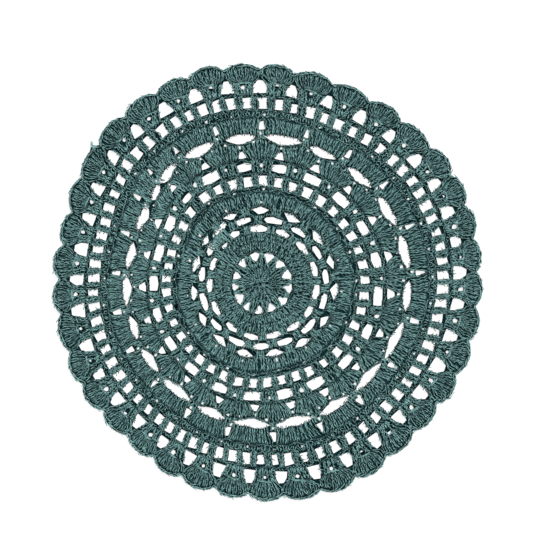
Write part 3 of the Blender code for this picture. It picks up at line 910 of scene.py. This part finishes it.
def rim_edge(t, number):
    """Return the radius of the mat's edge: valley + (height - valley) * (1 - |t|**fullness)."""
    arc = 1 - np.abs(t) ** SHELL_FULLNESS
    return RIM_RADIUS + SHELL_VALLEY + (shell_heights[number] - SHELL_VALLEY) * arc


def rim_tops(t, number):
    """Return the radius of the tops of a rim shell's stitches, which end under the braid."""
    return rim_edge(t, number) - BRAID_WIDTH + BRAID_OVERLAP


rim_laid = spray(room_between(doors, DOOR_AFTER, DOOR_BEFORE), len(DOORS), base_half=0.6, top_half=0.96,
                 base_radius=shell_row(172.4, rise=0.6), top_radius=rim_tops, count=RIM_STITCHES, bow=4.2)
rim_shells = work("rim_shells", tall_stitches(*rim_laid, crowd=0.4, opening=0.1, length=6.4, sway=0.25,
                                              paler=-0.17), pair_small_gaps)
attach(rim_shells, "root")
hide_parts("placemat")

# The rim braid: the loops of the last round's tops, which stand clear as a braid.
# The same yarn, seen along its lay, painted paler as the light it catches; its end lies out past the edge.

EDGE_STEPS = 24
YARN_END_DIRECTION = 142.0
YARN_END_BEND = 0.5
YARN_END_LEVEL = 1.4
YARN_END_GIRTH = 2.0
YARN_END_STEPS = 8
YARN_END_SIDES = 8

t = np.linspace(-1, 1, EDGE_STEPS + 1)[:-1]
edge_radius = rim_edge(t[None, :], np.arange(len(DOORS))[:, None]) - BRAID_WIDTH / 2
edge_direction = rim_centres[:, None] + (rim_centres - DOORS)[:, None] * t
edge_line = on_mat(edge_radius.ravel(), edge_direction.ravel())
end_radii = np.linspace(186.0, 193.6, YARN_END_STEPS)
end_flat = on_mat(end_radii, YARN_END_DIRECTION + YARN_END_BEND * np.sin(end_radii))
yarn_end = at_level(end_flat, YARN_END_LEVEL)[None]
end_girths = np.full((1, YARN_END_STEPS), YARN_END_GIRTH)
# The braid's paler=0.25 is painted light: its strands are coloured paler for the light they catch at the rim.
rim_braid = work("rim_braid", chain(edge_line, width=BRAID_WIDTH, length=5.0, slant=14.0, level=2.0,
                                    unrest=7.0, closed=True, paler=0.25)
                 + [(yarn_end, end_girths, shades(1), YARN_END_SIDES)])
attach(rim_braid, "root")
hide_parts("placemat")

# The backs of the stitches: what lies behind the strands and shows between them, painted dark as shade.
# The same yarn. The worked sheet has the mat's outline and gaps, pressed thin, with its small gaps cut.

BACK_SHARE = 0.45
BACK_INSET = 0.6
# The backs lie low, so the height share of the yarn's tone paints them dark, as the shade between the
# strands. BACK_SHADE is how pale they are set; ROUND_THE_YARN is how far round a strand they count, which
# sets their share of the painted crest highlight.
BACK_SHADE = 0.9
ROUND_THE_YARN = 0.4
WALL_SLOPE = 0.5
CUTTER_FOOT = -1.0
CUTTER_TOP = 4.0
MERGE_WITHIN = 0.001

# A prism for each small gap, from under the sheet to over it. Its walls face out.
gaps = np.concatenate([shell_small_gaps, ladder_small_gaps, fan_small_gaps, band_small_gaps,
                       pair_small_gaps])
count, corners, _ = gaps.shape
points = np.concatenate([at_level(gaps, CUTTER_FOOT), at_level(gaps, CUTTER_TOP)], axis=1) * MM
walls, caps = tube_faces(count, 2, corners)
cutter_mesh = bpy.data.meshes.new("small gaps")
cutter_mesh.from_pydata(points.reshape(-1, 3).tolist(), [], walls.reshape(-1, 4).tolist() + caps.tolist())
cutter = added("small gaps", cutter_mesh)

sheet = bmesh.new()
sheet.from_mesh(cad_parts["placemat"].data)
bmesh.ops.remove_doubles(sheet, verts=sheet.verts, dist=MERGE_WITHIN * MM)
worked = bpy.data.meshes.new("stitch_backs")
sheet.to_mesh(worked)
sheet.free()
stitch_backs = added("stitch_backs", worked)
cut = stitch_backs.modifiers.new("small gaps", "BOOLEAN")
cut.object = cutter
cut.solver = "EXACT"
bpy.context.view_layer.update()
stitch_backs.data = bpy.data.meshes.new_from_object(
    stitch_backs.evaluated_get(bpy.context.evaluated_depsgraph_get()))
stitch_backs.modifiers.clear()
bpy.data.objects.remove(cutter)

# The walls of its gaps and rim are drawn in by BACK_INSET, along the mean of their normals.
mesh = stitch_backs.data
points = np.empty(len(mesh.vertices) * 3)
mesh.vertices.foreach_get("co", points)
points = points.reshape(-1, 3)
corner_points = np.empty(len(mesh.loops), int)
mesh.loops.foreach_get("vertex_index", corner_points)
corner_counts = np.empty(len(mesh.polygons), int)
mesh.polygons.foreach_get("loop_total", corner_counts)
normals = np.empty(len(mesh.polygons) * 3)
mesh.polygons.foreach_get("normal", normals)
normals = np.repeat(normals.reshape(-1, 3), corner_counts, axis=0)
on_wall = abs(normals[:, 2]) < WALL_SLOPE
outward = np.zeros_like(points)
np.add.at(outward, corner_points[on_wall], normals[on_wall])
size = np.linalg.norm(outward, axis=1, keepdims=True)
points -= BACK_INSET * MM * outward / np.maximum(size, 1e-9)
points[:, 2] *= BACK_SHARE
mesh.vertices.foreach_set("co", points.ravel())
flat_u = points[corner_points, :2].sum(axis=1) / MM
flat_uv = np.stack([flat_u, np.full(len(corner_points), ROUND_THE_YARN)], axis=1)
for layer in list(mesh.uv_layers):
    mesh.uv_layers.remove(layer)
mesh.materials.clear()
dress(mesh, flat_uv, np.full(len(points), BACK_SHADE))
mesh.shade_flat()
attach(stitch_backs, "root")
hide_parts("placemat")

# The studio: a white floor, white light from all round and a soft lamp a little to the upper right.
# The mat lies flat on the floor and the camera looks straight down on it.

# The picture has VIEW_PIXELS a side, of PIXEL mm each, with the rose's middle at ROSE_AT.
PIXEL = 0.88
VIEW_PIXELS = 533
ROSE_AT = (260.5, 283.6)
FLOOR_HALF = 3.0
FLOOR_DROP = 0.0001
LENS = 100.0
SENSOR = 36.0

bpy.ops.mesh.primitive_plane_add(size=2 * FLOOR_HALF, location=(0, 0, -FLOOR_DROP))
floor = bpy.context.object
floor.name = "floor"
paper = bpy.data.materials.new("white paper sweep")
paper.use_nodes = True
tree = paper.node_tree
tree.nodes.clear()
bounce = node(tree, "ShaderNodeBsdfDiffuse", {}, {"Color": (0.3, 0.3, 0.3, 1.0)})
glow = node(tree, "ShaderNodeEmission", {}, {"Color": (1.0, 1.0, 1.0, 1.0), "Strength": 0.82})
lit = node(tree, "ShaderNodeAddShader", {}, {0: bounce.outputs[0], 1: glow.outputs[0]})
node(tree, "ShaderNodeOutputMaterial", {}, {"Surface": lit.outputs[0]})
floor.data.materials.append(paper)

world = bpy.data.worlds.new("white room")
world.use_nodes = True
light = world.node_tree.nodes["Background"].inputs
light["Color"].default_value = (1.0, 1.0, 1.0, 1.0)
light["Strength"].default_value = 0.45
bpy.context.scene.world = world

lamp = added("soft lamp", bpy.data.lights.new("soft lamp", "SUN"))
lamp.data.angle = math.radians(8)
lamp.data.energy = 2.8
lamp.rotation_euler = (math.radians(-38), math.radians(36), 0.0)

camera = added("camera", bpy.data.cameras.new("camera"))
camera.data.lens = LENS
camera.data.sensor_width = SENSOR
view_side = VIEW_PIXELS * PIXEL * MM
middle = VIEW_PIXELS / 2
camera.location = ((middle - ROSE_AT[0]) * PIXEL * MM, (ROSE_AT[1] - middle) * PIXEL * MM,
                   view_side * LENS / SENSOR)
bpy.context.scene.camera = camera
bpy.context.scene.view_settings.view_transform = "Standard"
